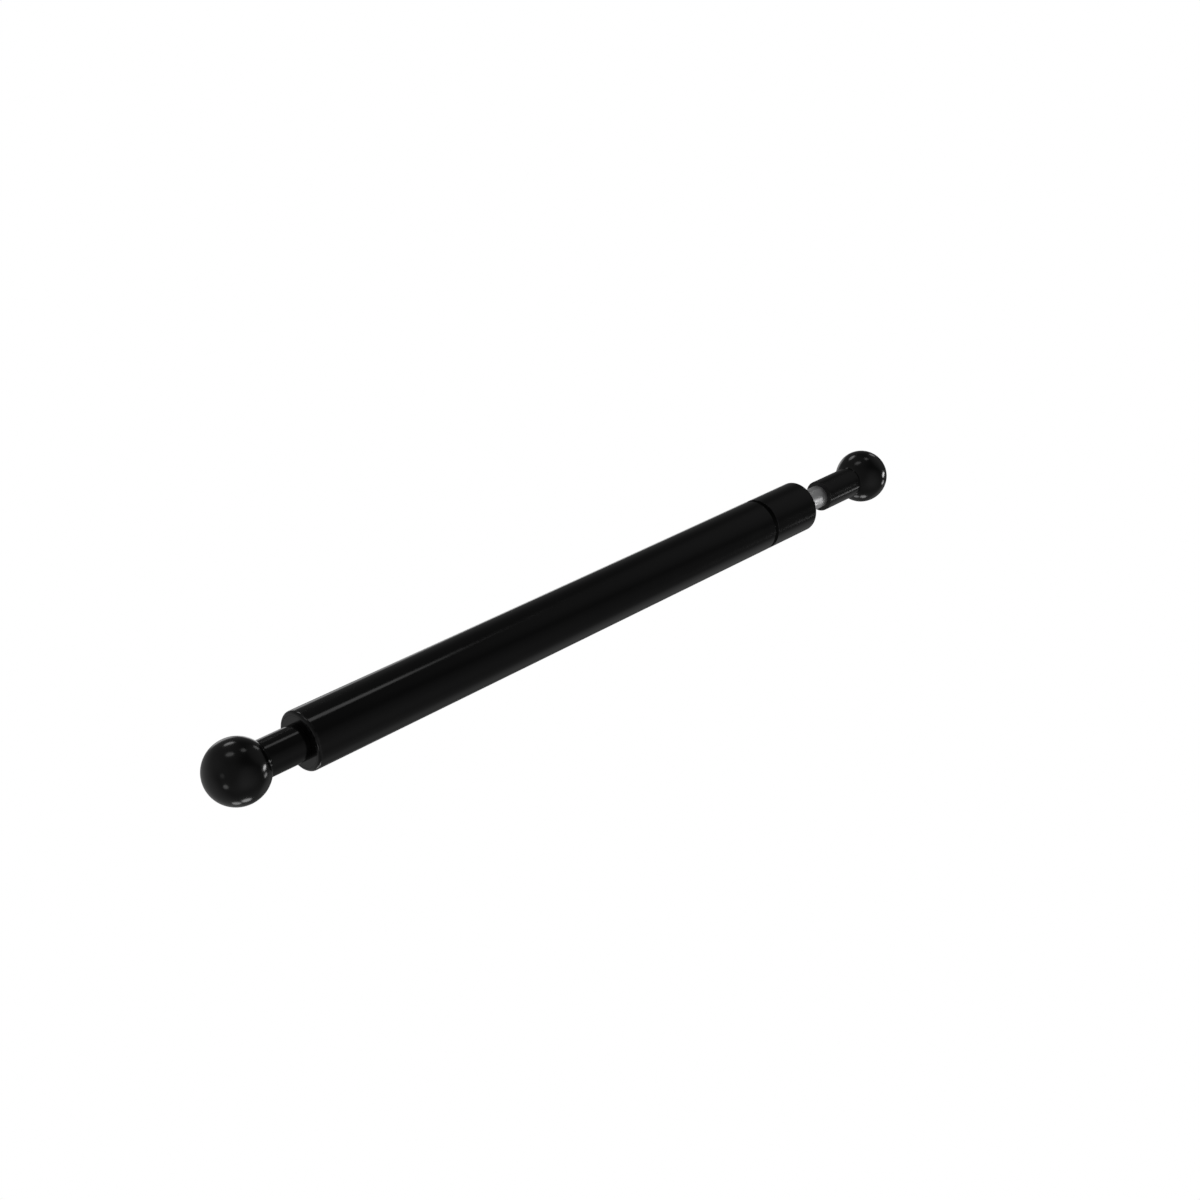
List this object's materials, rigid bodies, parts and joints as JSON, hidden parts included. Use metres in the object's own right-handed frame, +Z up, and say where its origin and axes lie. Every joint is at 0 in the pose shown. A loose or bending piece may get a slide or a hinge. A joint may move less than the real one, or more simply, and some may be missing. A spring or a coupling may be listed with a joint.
{
  "type": "gas strut stay",
  "caption": "Slim gas strut stay with a black cylinder, a bright piston rod and a round ball socket on each end, shown closed; it props a lid, hatch or shutter open.",
  "frame": {"origin": "centre of the ball that the base socket holds", "axes": "+X along the strut from the base ball to the rod ball; +Y out of the mouths of both sockets; +Z up"},
  "size_m": [0.299, 0.0185, 0.019],
  "materials": {
    "black_enamel": "gloss black stove enamel",
    "black_moulding": "gloss black glass-filled nylon",
    "bright_rod": "ground and polished hard chrome",
    "plain_steel": "turned, plain",
    "spring_wire": "drawn spring steel",
    "piston_alloy": "turned",
    "bearing_bronze": "sintered bronze",
    "white_slip_plastic": "slippery filled plastic",
    "seal_rubber": "matt black nitrile rubber"
  },
  "bodies": {
    "barrel": {"pressure_tube": "black_enamel", "base_plug": "black_enamel", "base_plug_o_ring": "seal_rubber", "base_stud": "plain_steel", "base_socket": "black_moulding", "base_socket_clip": "spring_wire", "gland": "black_enamel", "gland_o_ring": "seal_rubber", "seam_ring": "seal_rubber", "guide_bush": "bearing_bronze", "rod_seal": "seal_rubber", "seal_backing": "white_slip_plastic", "seal_retainer": "plain_steel", "gland_circlip": "spring_wire", "rod_wiper": "seal_rubber"},
    "piston_ring": {"piston_ring": "white_slip_plastic"},
    "rod": {"piston_rod": "bright_rod", "piston": "piston_alloy", "valve_disc": "spring_wire", "piston_washer": "plain_steel", "piston_nut": "plain_steel", "rod_socket": "black_moulding", "rod_socket_clip": "spring_wire"}
  },
  "joints": [
    {"name": "rod_slide", "type": "slide", "parent": "barrel", "child": "piston_ring", "axis": [1, 0, 0], "range_m": [0, 0.15]},
    {"name": "rod_turn", "type": "hinge", "parent": "piston_ring", "child": "rod", "pos_m": [0.28, 0, 0], "axis": [1, 0, 0], "continuous": true}
  ]
}
